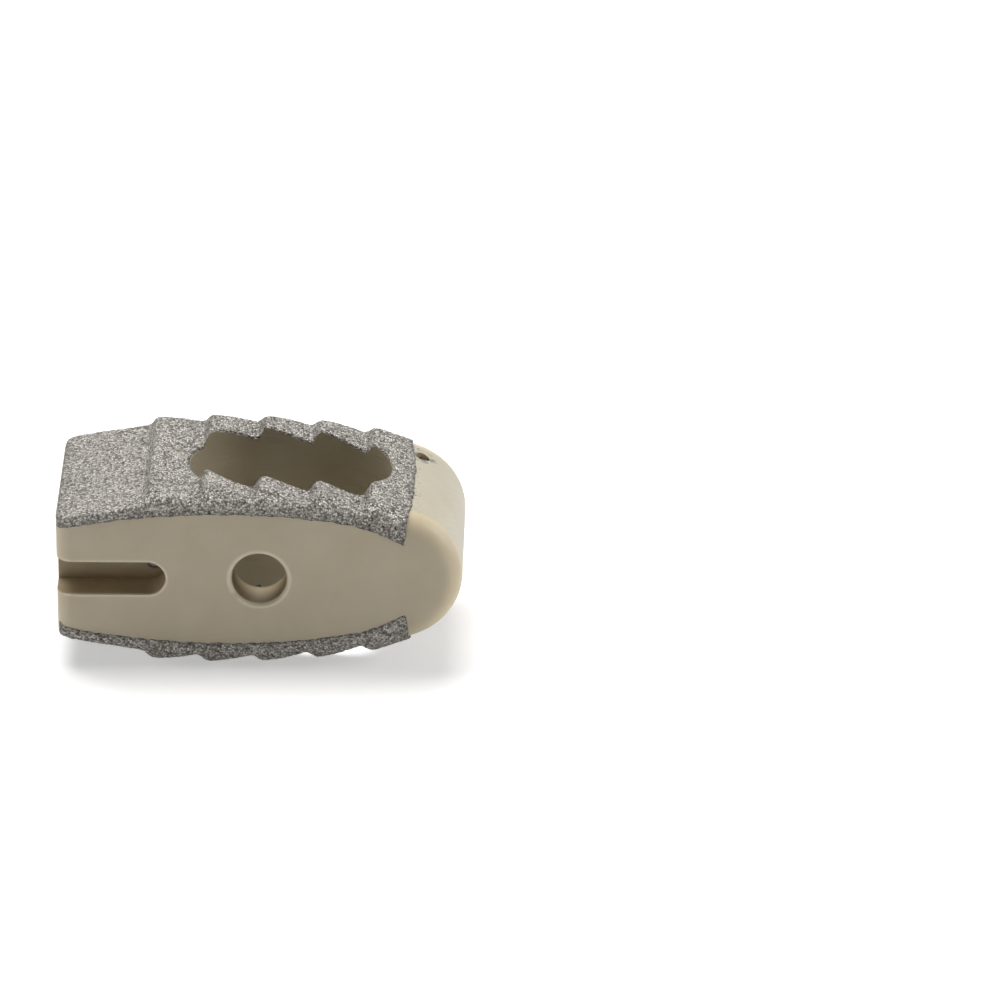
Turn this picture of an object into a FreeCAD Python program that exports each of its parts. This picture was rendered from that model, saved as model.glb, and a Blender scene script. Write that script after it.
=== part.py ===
import FreeCAD, Part
import math
import os

import Sketcher

# Interbody cage for the lumbar spine, in millimetres.
#
# A bullet-nosed block of plastic with domed, toothed bearing faces is sprayed above and
# below with rough titanium, and carries two metal marker pins that show on an X-ray.
#
# Frame: the origin is the centre of the inserter's threaded hole, on the rear face and on
# the mid-plane. +X points to the nose, +Y across the cage, +Z to the upper bearing face.

SIZES = (
    ("cage_length", "22", "rear face to nose tip"),
    ("cage_width", "10", "side face to side face, bare plastic"),
    ("cage_height", "10.5", "over the crowns of the two bearing faces, bare plastic"),
    ("crown_radius", "43.8", "dome that the tooth tips lie on, seen from the side"),
    ("crown_peak", "9.1", "highest point of the dome, from the rear face"),
    ("nose_radius", "3.9", "round nose, seen from the side"),
    ("edge_radius", "1.1", "rounding along the long edges and the nose"),
    ("rear_radius", "0.9", "rounding round the rear face"),
    ("tooth_pitch", "3", "tooth to tooth along the dome"),
    ("tooth_depth", "0.8", "root below tip"),
    ("tooth_rise", "0.4", "run of the steep flank, which faces the rear"),
    ("tooth_land", "0.2", "flat left on each tip"),
    ("tooth_start", "4.7", "foot of the first steep flank, from the rear face"),
    ("nose_room", "4.5", "least room between the last tooth's tip and the nose tip"),
    ("rear_wall", "7.1", "rear face to graft window"),
    ("nose_wall", "3.9", "graft window to nose tip"),
    ("window_width", "6", "graft window, across"),
    ("bore_diameter", "3", "cross bore through both side walls"),
    ("bore_place", "11", "cross bore, from the rear face"),
    ("bore_break", "0.15", "broken edge of the cross bore"),
    ("slot_height", "2", "side slots for the inserter's jaws"),
    ("slot_depth", "2", "side slots, into the wall"),
    ("slot_length", "5.95", "side slots, from the rear face"),
    ("thread_diameter", "4", "inserter's thread, at the thread's root"),
    ("thread_depth", "3.4", "full depth of the threaded hole"),
    ("point_angle", "118", "drill point of the threaded hole"),
    ("coat_thickness", "0.2", "sprayed titanium on the bearing faces"),
    ("side_coat", "0.1", "sprayed titanium on the sides, which the spray only grazes"),
    ("coat_back", "0.05", "rear edge of the titanium, from the rear face"),
    ("bare_nose", "2.85", "front edge of the titanium, from the nose tip"),
    ("mask_drop", "1.35", "lower edge of the titanium, below the plastic crown"),
    ("mask_bend", "7", "where that edge turns down, from the nose tip"),
    ("mask_radius", "10", "how sharply it turns down"),
    ("pin_diameter", "0.8", "marker pins and their holes"),
    ("pin_chamfer", "0.08", "ends of the marker pins"),
    ("pin_wall", "0.23", "plastic between the drill point and the rear marker pin"),
    ("pin_sink", "0.1", "rear marker pin below each slot floor"),
    ("nose_pin_place", "2.35", "nose marker pin, from the nose tip"),
    ("nose_pin_offset", "2.9", "nose marker pin, off the centreline"),
    ("nose_pin_foot", "-1.75", "lower end of the nose marker pin, from the mid-plane"),
    ("nose_pin_length", "5", "nose marker pin"),
    ("overrun", "2", "how far the cutters run past the block"),
    ("tip_clearance", "0.3", "how far the tooth cutters run past the tips"),
)

TOLERANCE = 1e-4

# Places that follow from the sizes, as expressions on the spreadsheet.
DOME_CENTRE = "(Sizes.cage_height / 2 - Sizes.crown_radius)"
NOSE_CENTRE = "(Sizes.cage_length - Sizes.nose_radius)"
TIP_PLACE = "(Sizes.tooth_start + Sizes.tooth_rise + Sizes.tooth_land)"
TOOTH_ROOM = "(Sizes.cage_length - Sizes.nose_room - %s)" % TIP_PLACE
TOOTH_COUNT = "(floor(%s / Sizes.tooth_pitch) + 1)" % TOOTH_ROOM
HOLE_RADIUS = "Sizes.thread_diameter / 2"
POINT_END = "(Sizes.thread_depth + %s / tan(Sizes.point_angle / 2))" % HOLE_RADIUS
REAR_PIN_PLACE = "%s + Sizes.pin_wall + Sizes.pin_diameter / 2" % POINT_END
REAR_PIN_LENGTH = "Sizes.cage_width - 2 * Sizes.slot_depth - 2 * Sizes.pin_sink"
PITCH_ANGLE = "(Sizes.tooth_pitch / Sizes.crown_radius * 180 / pi)"

# What the titanium adds above and beside the plastic.
NO_COAT = ("", "")
SPRAY = (" + Sizes.coat_thickness", " + Sizes.side_coat")


def make_sheet(doc):
    """Write the driving sizes into a spreadsheet, one alias to a row."""
    sheet = doc.addObject("Spreadsheet::Sheet", "Sizes")
    for row, (alias, value, note) in enumerate(SIZES, start=1):
        sheet.set("A%d" % row, alias)
        sheet.set("B%d" % row, value)
        sheet.setAlias("B%d" % row, alias)
        sheet.set("C%d" % row, note)
    doc.recompute()
    return sheet


def number(owner, expression):
    """Value of an expression as a plain number."""
    return float(FreeCAD.Units.Quantity(owner.evalExpression(expression)).Value)


def new_body(doc, label):
    body = doc.addObject("PartDesign::Body", label)
    body.Label = label
    return body


def sketch_on(body, role, name, **offsets):
    """Sketch on one of the body's own origin planes; offsets x, y and z are expressions."""
    sketch = body.newObject("Sketcher::SketchObject", name)
    plane = next(f for f in body.Origin.OriginFeatures if f.Role == role)
    sketch.AttachmentSupport = (plane, [""])
    sketch.MapMode = "FlatFace"
    for axis, expression in offsets.items():
        sketch.setExpression(".AttachmentOffset.Base." + axis, expression)
    body.Document.recompute()
    return sketch


def hold(sketch, kind, *where, to):
    """Add one dimension that follows an expression."""
    index = sketch.addConstraint(Sketcher.Constraint(kind, *where, number(sketch, to)))
    sketch.setExpression("Constraints[%d]" % index, to)


def hold_point(sketch, edge, end, x, y):
    """Place a point by two expressions measured from the sketch's origin."""
    for kind, axis, place in (("DistanceX", -2, x), ("DistanceY", -1, y)):
        if place == "0":
            sketch.addConstraint(Sketcher.Constraint("PointOnObject", edge, end, axis))
        else:
            hold(sketch, kind, -1, 1, edge, end, to=place)


def join(sketch, *pairs):
    """Make each pair of edge ends coincide."""
    for (edge_a, end_a), (edge_b, end_b) in pairs:
        sketch.addConstraint(Sketcher.Constraint("Coincident", edge_a, end_a, edge_b, end_b))


def point_at(sketch, x, y):
    return FreeCAD.Vector(number(sketch, x), number(sketch, y), 0)


def draw_polygon(sketch, corners):
    """Closed outline of straight lines through corners given as pairs of expressions."""
    places = [point_at(sketch, x, y) for x, y in corners]
    for here, there in zip(places, places[1:] + places[:1]):
        sketch.addGeometry(Part.LineSegment(here, there))
    count = len(corners)
    join(sketch, *[((i, 2), ((i + 1) % count, 1)) for i in range(count)])
    for edge, (x, y) in enumerate(corners):
        hold_point(sketch, edge, 1, x, y)


def draw_circle(sketch, x, y, diameter):
    radius = number(sketch, diameter) / 2
    sketch.addGeometry(Part.Circle(point_at(sketch, x, y), FreeCAD.Vector(0, 0, 1), radius))
    hold_point(sketch, 0, 3, x, y)
    hold(sketch, "Diameter", 0, to=diameter)


def arc_through(centre, start, end):
    """Arc about a centre, anticlockwise from start to end."""
    circle = Part.Circle(centre, FreeCAD.Vector(0, 0, 1), (start - centre).Length)
    return Part.ArcOfCircle(circle, circle.parameter(start), circle.parameter(end))


def cut_through(body, name, sketch):
    """Pocket through the whole body, both ways from its sketch."""
    pocket = body.newObject("PartDesign::Pocket", name)
    pocket.Profile = sketch
    pocket.Type = "ThroughAll"
    pocket.SideType = "Symmetric"
    return pocket


def round_edges(body, name, radius, wanted):
    """Fillet the edges of the body's tip that pass the test."""
    tip = body.Tip
    names = ["Edge%d" % i for i, edge in enumerate(tip.Shape.Edges, start=1) if wanted(edge)]
    fillet = body.newObject("PartDesign::Fillet", name)
    fillet.Base = (tip, names)
    fillet.setExpression("Radius", radius)
    body.Document.recompute()
    return fillet


# Places along the dome are measured from its peak and turned into points at a radius from
# the dome's centre, which is the origin of every tooth sketch.

def on_dome(radius, along):
    turn = "(%s) / Sizes.crown_radius * 180 / pi" % along
    return "(%s) * sin(%s)" % (radius, turn), "(%s) * cos(%s)" % (radius, turn)


def tooth_foot(index):
    return "Sizes.tooth_start - Sizes.crown_peak + %d * Sizes.tooth_pitch" % index


def tooth_tip(index):
    """Where the tip's flat begins, at the top of the steep flank."""
    return tooth_foot(index) + " + Sizes.tooth_rise"


def tooth_heel(index):
    """Where the tip's flat ends and the long flank begins."""
    return tooth_tip(index) + " + Sizes.tooth_land"


def carry_on(here, there):
    """Point past the second one on the line through both, clear of the tooth tips."""
    reach = "(1 + Sizes.tip_clearance / Sizes.tooth_depth)"
    return tuple("(%s) + ((%s) - (%s)) * %s" % (a, b, a, reach) for a, b in zip(here, there))


def ramp_angle():
    """Fall of the ramp that runs from the last tooth's heel and touches the round nose."""
    heel = "(%s + (%s - 1) * Sizes.tooth_pitch)" % (tooth_heel(0), TOOTH_COUNT)
    along, up = on_dome("Sizes.crown_radius", heel)
    back = "(Sizes.crown_peak + %s - %s)" % (along, NOSE_CENTRE)
    height = "(%s + %s)" % (DOME_CENTRE, up)
    reach = "sqrt(%s ^ 2 + %s ^ 2)" % (back, height)
    return "(atan(%s / %s) + acos(Sizes.nose_radius / %s))" % (back, height, reach)


def wedge_rear(beside):
    return "-(0%s)" % beside if beside else "0"


def wedge_top(above, beside):
    """Height at the rear face of the ramp, carried back over the whole uncut block."""
    back = "(%s - %s)" % (NOSE_CENTRE, wedge_rear(beside))
    fall = ramp_angle()
    return "((Sizes.nose_radius%s + %s * sin(%s)) / cos(%s))" % (above, back, fall, fall)


def draw_side_outline(sketch, above, beside):
    """Side view of the uncut block: a wedge whose two ramps run down to the round nose."""
    rear = wedge_rear(beside)
    top = wedge_top(above, beside)
    nose = "Sizes.nose_radius" + above
    middle = point_at(sketch, NOSE_CENTRE, "0")
    fall = math.radians(number(sketch, ramp_angle()))
    touch = middle + FreeCAD.Vector(math.sin(fall), math.cos(fall), 0) * number(sketch, nose)
    low_touch = FreeCAD.Vector(touch.x, -touch.y, 0)
    rear_top = point_at(sketch, rear, top)
    rear_foot = FreeCAD.Vector(rear_top.x, -rear_top.y, 0)
    sketch.addGeometry([
        Part.LineSegment(low_touch, rear_foot),
        Part.LineSegment(rear_foot, rear_top),
        Part.LineSegment(rear_top, touch),
        arc_through(middle, low_touch, touch),
    ])
    join(sketch, ((0, 2), (1, 1)), ((1, 2), (2, 1)))
    sketch.addConstraint(Sketcher.Constraint("Tangent", 2, 2, 3, 2))
    sketch.addConstraint(Sketcher.Constraint("Tangent", 3, 1, 0, 1))
    hold_point(sketch, 0, 2, rear, "-" + top)
    hold_point(sketch, 1, 2, rear, top)
    hold_point(sketch, 3, 3, NOSE_CENTRE, "0")
    hold(sketch, "Radius", 3, to=nose)


def dome_sketch(body, name, side):
    """Sketch at the dome's centre; the lower face's is the upper one turned over."""
    height = "%s * %d" % (DOME_CENTRE, side)
    sketch = sketch_on(body, "XZ_Plane", name, x="Sizes.crown_peak", y=height)
    if side < 0:
        sketch.AttachmentOffset.Rotation = FreeCAD.Rotation(FreeCAD.Vector(1, 0, 0), 180)
    return sketch


def draw_crown_cutter(sketch, above, beside):
    """What lies outside a flat with rounded long edges, seen along the cage. The flat runs
    from heel to heel, so it passes a little below the dome halfway."""
    flat = "((Sizes.crown_radius%s) * cos(%s / 2))" % (above, PITCH_ANGLE)
    half = "(Sizes.cage_width / 2%s)" % beside
    radius = "(Sizes.edge_radius%s)" % beside
    low = "%s - %s" % (flat, radius)
    top = "%s + %s" % (flat, wedge_top(above, beside))
    side = half + " + Sizes.overrun"
    inner = "%s - %s" % (half, radius)
    corners = [("-(%s)" % inner, flat), (inner, flat), (half, low), (side, low), (side, top),
               ("-(%s)" % side, top), ("-(%s)" % side, low), ("-" + half, low)]
    places = [point_at(sketch, x, y) for x, y in corners]
    near_middle = FreeCAD.Vector(places[0].x, places[2].y, 0)
    far_middle = FreeCAD.Vector(places[1].x, places[2].y, 0)
    sketch.addGeometry(Part.LineSegment(places[0], places[1]))
    sketch.addGeometry(arc_through(far_middle, places[2], places[1]))
    for here, there in zip(places[2:], places[3:]):
        sketch.addGeometry(Part.LineSegment(here, there))
    sketch.addGeometry(arc_through(near_middle, places[0], places[-1]))

    join(sketch, ((1, 1), (2, 1)), ((6, 2), (7, 2)))
    join(sketch, *[((edge, 2), (edge + 1, 1)) for edge in range(2, 6)])
    sketch.addConstraint(Sketcher.Constraint("Tangent", 0, 2, 1, 2))
    sketch.addConstraint(Sketcher.Constraint("Tangent", 7, 1, 0, 1))
    for edge, (x, y) in enumerate(corners[3:7], start=2):
        hold_point(sketch, edge, 2, x, y)
    sketch.addConstraint(Sketcher.Constraint("Horizontal", 2))
    sketch.addConstraint(Sketcher.Constraint("Horizontal", 6))
    hold_point(sketch, 1, 3, inner, low)
    hold_point(sketch, 7, 3, "-(%s)" % inner, low)
    hold(sketch, "Radius", 1, to=radius)
    hold(sketch, "Radius", 7, to=radius)


def cut_crown(body, label, side, coat):
    """Flats of one bearing face, from tooth heel to tooth heel, with rounded long edges."""
    above, beside = coat
    height = "%s * %d" % (DOME_CENTRE, side)
    sketch = sketch_on(body, "YZ_Plane", label + "_crown_outline",
                       z="Sizes.crown_peak", y=height)
    first = "(%s - Sizes.tooth_pitch / 2) / Sizes.crown_radius * 180 / pi" % tooth_heel(0)
    turn = first if side > 0 else "180 - %s" % first
    sketch.AttachmentOffset.Rotation = FreeCAD.Rotation(FreeCAD.Vector(1, 0, 0), 1)
    sketch.setExpression(".AttachmentOffset.Rotation.Angle", turn)
    body.Document.recompute()
    draw_crown_cutter(sketch, above, beside)
    flat = cut_through(body, label + "_flat", sketch)
    pattern = body.newObject("PartDesign::PolarPattern", label + "_crown")
    pattern.Originals = [flat]
    pattern.Axis = (sketch, ["H_Axis"])
    pattern.Reversed = side < 0
    pattern.Mode = "Spacing"
    pattern.setExpression("Offset", PITCH_ANGLE)
    pattern.setExpression("Occurrences", TOOTH_COUNT)
    body.Tip = pattern
    body.Document.recompute()


def draw_rear_land(sketch, root, crown):
    """Smooth strip behind the first tooth, lowered to the level of the tooth roots."""
    behind = "-(Sizes.crown_peak + Sizes.overrun)"
    foot = on_dome(root, tooth_foot(0))
    above_foot = carry_on(foot, on_dome(crown, tooth_tip(0)))
    above_rear = on_dome(crown + " + Sizes.overrun", behind)
    draw_polygon(sketch, [foot, above_foot, above_rear, on_dome(root, behind)])


def draw_gullet(sketch, root, crown):
    """V between the first tooth's long flank and the second tooth's steep flank."""
    foot = on_dome(root, tooth_foot(1))
    above_heel = carry_on(foot, on_dome(crown, tooth_heel(0)))
    above_foot = carry_on(foot, on_dome(crown, tooth_tip(1)))
    draw_polygon(sketch, [foot, above_foot, above_heel])


def cut_teeth(body, label, side, above):
    """Land and gullets of one bearing face; side is 1 for the upper and -1 for the lower."""
    crown = "Sizes.crown_radius" + above
    root = crown + " - Sizes.tooth_depth"
    land = dome_sketch(body, label + "_land_outline", side)
    draw_rear_land(land, root, crown)
    cut_through(body, label + "_land", land)
    gullet = dome_sketch(body, label + "_gullet_outline", side)
    draw_gullet(gullet, root, crown)
    first = cut_through(body, label + "_gullet", gullet)
    pattern = body.newObject("PartDesign::PolarPattern", label + "_teeth")
    pattern.Originals = [first]
    pattern.Axis = (gullet, ["N_Axis"])
    pattern.Reversed = True
    pattern.Mode = "Spacing"
    pattern.setExpression("Offset", PITCH_ANGLE)
    pattern.setExpression("Occurrences", TOOTH_COUNT + " - 1")
    body.Tip = pattern
    body.Document.recompute()


def toothed_block(doc, label, coat):
    """Block with rounded edges and toothed bearing faces, larger by the coat's two growths."""
    above, beside = coat
    body = new_body(doc, label)
    outline = sketch_on(body, "XZ_Plane", label + "_outline")
    draw_side_outline(outline, above, beside)
    block = body.newObject("PartDesign::Pad", label + "_block")
    block.Profile = outline
    block.SideType = "Symmetric"
    width = "Sizes.cage_width" + beside * 2
    block.setExpression("Length", width)
    doc.recompute()

    rear_x = block.Shape.BoundBox.XMin
    half_width = number(body, width) / 2

    def on_side(edge):
        off_side = abs(abs(edge.CenterOfMass.y) - half_width)
        return off_side < TOLERANCE and edge.CenterOfMass.x > rear_x + TOLERANCE

    def on_rear(edge):
        return abs(edge.CenterOfMass.x - rear_x) < TOLERANCE

    round_edges(body, label + "_nose_edges", "Sizes.edge_radius" + beside, on_side)
    cut_crown(body, label + "_upper", 1, coat)
    cut_crown(body, label + "_lower", -1, coat)
    round_edges(body, label + "_rear_edges", "Sizes.rear_radius" + beside, on_rear)
    cut_teeth(body, label + "_upper", 1, above)
    cut_teeth(body, label + "_lower", -1, above)
    return body


def draw_stadium(sketch, start, end, width):
    """Slot with round ends along X, centred on the X axis."""
    radius = "%s / 2" % width
    near = "%s + %s" % (start, radius)
    far = "%s - %s" % (end, radius)
    low, high = "-%s" % radius, radius
    corners = [point_at(sketch, x, y)
               for x, y in ((near, low), (far, low), (far, high), (near, high))]
    sketch.addGeometry([
        Part.LineSegment(corners[0], corners[1]),
        arc_through(point_at(sketch, far, "0"), corners[1], corners[2]),
        Part.LineSegment(corners[2], corners[3]),
        arc_through(point_at(sketch, near, "0"), corners[3], corners[0]),
    ])
    for edge in range(4):
        after = (edge + 1) % 4
        sketch.addConstraint(Sketcher.Constraint("Tangent", edge, 2, after, 1))
    hold_point(sketch, 1, 3, far, "0")
    hold_point(sketch, 3, 3, near, "0")
    hold(sketch, "Radius", 1, to=radius)


def cut_window(body, name):
    """Graft window from the upper to the lower bearing face."""
    sketch = sketch_on(body, "XY_Plane", name + "_outline")
    window_end = "Sizes.cage_length - Sizes.nose_wall"
    draw_stadium(sketch, "Sizes.rear_wall", window_end, "Sizes.window_width")
    return cut_through(body, name, sketch)


def cut_cross_bore(body):
    """Bore through both side walls, with its outer edges broken by a short cone."""
    sketch = sketch_on(body, "XY_Plane", "cross_bore_outline", x="Sizes.bore_place")
    radius = "Sizes.bore_diameter / 2"
    side = "Sizes.cage_width / 2"
    past_side = side + " + Sizes.overrun"
    wide = radius + " + Sizes.bore_break + Sizes.overrun"
    inside = side + " - Sizes.bore_break"
    draw_polygon(sketch, [
        ("0", "-(%s)" % past_side),
        (wide, "-(%s)" % past_side),
        (radius, "-(%s)" % inside),
        (radius, inside),
        (wide, past_side),
        ("0", past_side),
    ])
    groove = body.newObject("PartDesign::Groove", "cross_bore")
    groove.Profile = sketch
    groove.ReferenceAxis = (sketch, ["V_Axis"])
    groove.Angle = 360
    return groove


def cut_side_slot(body, name, side):
    """Open-ended slot in one side wall; side is -1 for the near wall and 1 for the far one."""
    depth = "Sizes.cage_width / 2 * %d" % -side
    sketch = sketch_on(body, "XZ_Plane", name + "_outline", z=depth)
    radius = "Sizes.slot_height / 2"
    bend = "Sizes.slot_length - " + radius
    low, high = "-" + radius, radius
    corners = [point_at(sketch, x, y) for x, y in (
        ("-Sizes.overrun", low), (bend, low), (bend, high), ("-Sizes.overrun", high))]
    sketch.addGeometry([
        Part.LineSegment(corners[0], corners[1]),
        arc_through(point_at(sketch, bend, "0"), corners[1], corners[2]),
        Part.LineSegment(corners[2], corners[3]),
        Part.LineSegment(corners[3], corners[0]),
    ])
    join(sketch, ((2, 2), (3, 1)), ((3, 2), (0, 1)))
    sketch.addConstraint(Sketcher.Constraint("Tangent", 0, 2, 1, 1))
    sketch.addConstraint(Sketcher.Constraint("Tangent", 1, 2, 2, 1))
    sketch.addConstraint(Sketcher.Constraint("Horizontal", 0))
    sketch.addConstraint(Sketcher.Constraint("Vertical", 3))
    hold_point(sketch, 1, 3, bend, "0")
    hold(sketch, "Radius", 1, to=radius)
    hold(sketch, "DistanceX", -1, 1, 0, 1, to="-Sizes.overrun")
    pocket = body.newObject("PartDesign::Pocket", name)
    pocket.Profile = sketch
    pocket.setExpression("Length", "Sizes.slot_depth")
    pocket.Reversed = side > 0
    return pocket


def cut_threaded_hole(body):
    """Blind hole for the inserter, with a drill point at its end."""
    sketch = sketch_on(body, "XY_Plane", "thread_outline")
    draw_polygon(sketch, [
        ("-Sizes.overrun", "0"),
        (POINT_END, "0"),
        ("Sizes.thread_depth", HOLE_RADIUS),
        ("-Sizes.overrun", HOLE_RADIUS),
    ])
    groove = body.newObject("PartDesign::Groove", "threaded_hole")
    groove.Profile = sketch
    groove.ReferenceAxis = (sketch, ["H_Axis"])
    groove.Angle = 360
    return groove


def nose_pin_sketch(body, name):
    """Circle of the nose marker pin, at its foot."""
    sketch = sketch_on(body, "XY_Plane", name, z="Sizes.nose_pin_foot")
    place = "Sizes.cage_length - Sizes.nose_pin_place"
    draw_circle(sketch, place, "Sizes.nose_pin_offset", "Sizes.pin_diameter")
    return sketch


def rear_pin_sketch(body, name):
    """Circle of the rear marker pin, on the centreline."""
    sketch = sketch_on(body, "XZ_Plane", name)
    draw_circle(sketch, REAR_PIN_PLACE, "0", "Sizes.pin_diameter")
    return sketch


def make_cage_body(doc):
    """Plastic body with everything that is cut into it."""
    body = toothed_block(doc, "cage_body", NO_COAT)
    cut_window(body, "graft_window")
    cut_cross_bore(body)
    cut_side_slot(body, "near_slot", -1)
    cut_side_slot(body, "far_slot", 1)
    cut_threaded_hole(body)
    cut_through(body, "rear_pin_hole", rear_pin_sketch(body, "rear_pin_hole_outline"))
    nose_hole = body.newObject("PartDesign::Pocket", "nose_pin_hole")
    nose_hole.Profile = nose_pin_sketch(body, "nose_pin_hole_outline")
    nose_hole.Type = "ThroughAll"
    nose_hole.Reversed = True
    doc.recompute()
    return body


def make_pin(doc, label, sketch_maker, length, both_ways):
    """Marker pin with chamfered ends."""
    body = new_body(doc, label)
    pad = body.newObject("PartDesign::Pad", label + "_rod")
    pad.Profile = sketch_maker(body, label + "_outline")
    pad.SideType = "Symmetric" if both_ways else "One side"
    pad.setExpression("Length", length)
    doc.recompute()
    ends = ["Edge%d" % i for i, edge in enumerate(pad.Shape.Edges, start=1)
            if isinstance(edge.Curve, Part.Circle)]
    chamfer = body.newObject("PartDesign::Chamfer", label + "_ends")
    chamfer.Base = (pad, ends)
    chamfer.setExpression("Size", "Sizes.pin_chamfer")
    doc.recompute()
    return body


def draw_sprayed_area(sketch):
    """Side view of what the spray reaches: above the mask's edge, behind its front and
    ahead of the rear face, which the inserter seats on."""
    mask_radius = "Sizes.crown_radius - Sizes.mask_drop"
    bend_place = "Sizes.cage_length - Sizes.mask_bend"
    front_place = "Sizes.cage_length - Sizes.bare_nose"
    top = "Sizes.cage_height / 2 + Sizes.coat_thickness + Sizes.overrun"
    centre = point_at(sketch, "Sizes.crown_peak", DOME_CENTRE)
    radius = number(sketch, mask_radius)
    back = number(sketch, "Sizes.coat_back")
    front = number(sketch, front_place)
    high = number(sketch, top)

    def mask_point(x, middle, reach):
        return FreeCAD.Vector(x, middle.y + math.sqrt(reach ** 2 - (x - middle.x) ** 2), 0)

    start = mask_point(back, centre, radius)
    turn = mask_point(number(sketch, bend_place), centre, radius)
    bend_radius = number(sketch, "Sizes.mask_radius")
    bend_centre = turn + (centre - turn) * (bend_radius / radius)
    end = mask_point(front, bend_centre, bend_radius)
    sketch.addGeometry([
        arc_through(centre, turn, start),
        arc_through(bend_centre, end, turn),
        Part.LineSegment(end, FreeCAD.Vector(front, high, 0)),
        Part.LineSegment(FreeCAD.Vector(front, high, 0), FreeCAD.Vector(back, high, 0)),
        Part.LineSegment(FreeCAD.Vector(back, high, 0), start),
    ])
    sketch.addConstraint(Sketcher.Constraint("Tangent", 0, 1, 1, 2))
    join(sketch, ((1, 1), (2, 1)), ((2, 2), (3, 1)), ((3, 2), (4, 1)), ((4, 2), (0, 2)))
    for edge, way in ((2, "Vertical"), (3, "Horizontal"), (4, "Vertical")):
        sketch.addConstraint(Sketcher.Constraint(way, edge))
    hold_point(sketch, 0, 3, "Sizes.crown_peak", DOME_CENTRE)
    hold(sketch, "Radius", 0, to=mask_radius)
    hold(sketch, "Radius", 1, to="Sizes.mask_radius")
    hold(sketch, "DistanceX", -1, 1, 0, 1, to=bend_place)
    hold(sketch, "DistanceX", -1, 1, 2, 2, to=front_place)
    hold(sketch, "DistanceX", -1, 1, 4, 1, to="Sizes.coat_back")
    hold(sketch, "DistanceY", -1, 1, 3, 1, to=top)


def make_coatings(doc, cage):
    """Titanium skins: a block grown by the coating, less the plastic, inside the mask."""
    grown = toothed_block(doc, "sprayed_block", SPRAY)
    area = new_body(doc, "sprayed_area")
    sketch = sketch_on(area, "XZ_Plane", "mask_outline")
    draw_sprayed_area(sketch)
    pad = area.newObject("PartDesign::Pad", "mask_block")
    pad.Profile = sketch
    pad.SideType = "Symmetric"
    pad.setExpression("Length", "Sizes.cage_width + 2 * Sizes.side_coat + 2 * Sizes.overrun")
    cut_window(area, "mask_window")
    doc.recompute()

    sprayed = doc.addObject("Part::Common", "sprayed_cap")
    sprayed.Base = grown
    sprayed.Tool = area
    upper = doc.addObject("Part::Cut", "upper_coating")
    upper.Label = "upper_coating"
    upper.Base = sprayed
    upper.Tool = cage
    lower = doc.addObject("Part::Mirroring", "lower_coating")
    lower.Label = "lower_coating"
    lower.Source = upper
    lower.Normal = (0, 0, 1)
    doc.recompute()
    return upper, lower


def check(doc, parts):
    """Stop at a failed feature, or at a piece that isn't one valid solid."""
    for item in doc.Objects:
        if "Invalid" in item.State or "Error" in item.State:
            raise RuntimeError("%s failed" % item.Name)
    for part in parts:
        shape = part.Shape
        if shape.isNull() or not shape.isValid():
            raise RuntimeError("%s has no valid shape" % part.Label)
        if len(shape.Solids) != 1:
            raise RuntimeError("%s has %d solids" % (part.Label, len(shape.Solids)))


def main():
    doc = FreeCAD.newDocument("interbody_cage")
    make_sheet(doc)
    cage = make_cage_body(doc)
    parts = [
        cage,
        make_pin(doc, "rear_marker_pin", rear_pin_sketch, REAR_PIN_LENGTH, True),
        make_pin(doc, "nose_marker_pin", nose_pin_sketch, "Sizes.nose_pin_length", False),
    ]
    parts += make_coatings(doc, cage)
    check(doc, parts)
    os.makedirs("parts", exist_ok=True)
    for part in parts:
        part.Shape.exportStep("parts/%s.step" % part.Label)
        print("%-16s %9.3f mm3" % (part.Label, part.Shape.Volume))


main()
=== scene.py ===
import functools
import itertools
import math

import bpy
import numpy as np
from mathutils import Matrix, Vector


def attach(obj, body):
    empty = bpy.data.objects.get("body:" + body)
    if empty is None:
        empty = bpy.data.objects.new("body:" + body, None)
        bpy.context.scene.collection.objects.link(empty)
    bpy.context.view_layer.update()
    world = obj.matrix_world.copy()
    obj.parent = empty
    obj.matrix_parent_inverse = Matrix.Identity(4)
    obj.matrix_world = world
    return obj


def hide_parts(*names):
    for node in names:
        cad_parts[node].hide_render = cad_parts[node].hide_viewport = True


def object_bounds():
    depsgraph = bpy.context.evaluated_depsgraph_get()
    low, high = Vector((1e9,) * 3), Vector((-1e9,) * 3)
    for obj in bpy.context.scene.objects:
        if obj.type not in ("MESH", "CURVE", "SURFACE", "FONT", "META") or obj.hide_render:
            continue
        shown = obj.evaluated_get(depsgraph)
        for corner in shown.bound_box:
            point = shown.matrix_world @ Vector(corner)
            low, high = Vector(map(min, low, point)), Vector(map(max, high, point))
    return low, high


# Spinal interbody cage: a machined plastic block whose bearing faces are sprayed with rough
# titanium. The plastic and the marker pins are the frame's own nodes; the two sprayed skins
# replace their smooth nodes with grains, ragged edges and softened teeth, and a thread's
# ridge is laid in the threaded hole. Sizes and places are in millimetres.

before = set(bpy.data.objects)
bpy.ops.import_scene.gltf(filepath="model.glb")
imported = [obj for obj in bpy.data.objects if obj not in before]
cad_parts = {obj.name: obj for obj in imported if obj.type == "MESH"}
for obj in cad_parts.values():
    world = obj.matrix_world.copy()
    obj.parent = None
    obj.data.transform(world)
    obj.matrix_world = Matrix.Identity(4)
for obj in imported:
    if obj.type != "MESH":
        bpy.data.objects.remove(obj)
cad_box = [list(corner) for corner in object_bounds()]

MM = 0.001
UPWARD = np.array([0.0, 0.0, 1.0])

# Camera of the photograph: a long lens, a little off square and looking down on the cage.
# Its tilt and pan are in degrees.
CAMERA_PLACE = (30.32, -400.75, 204.25)
CAMERA_TILT = 63.27
CAMERA_PAN = 0.91
CAMERA_LENS = 296.6
CAMERA_REACH = (10.0, 10000.0)
SENSOR_WIDTH = 36.0

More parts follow.
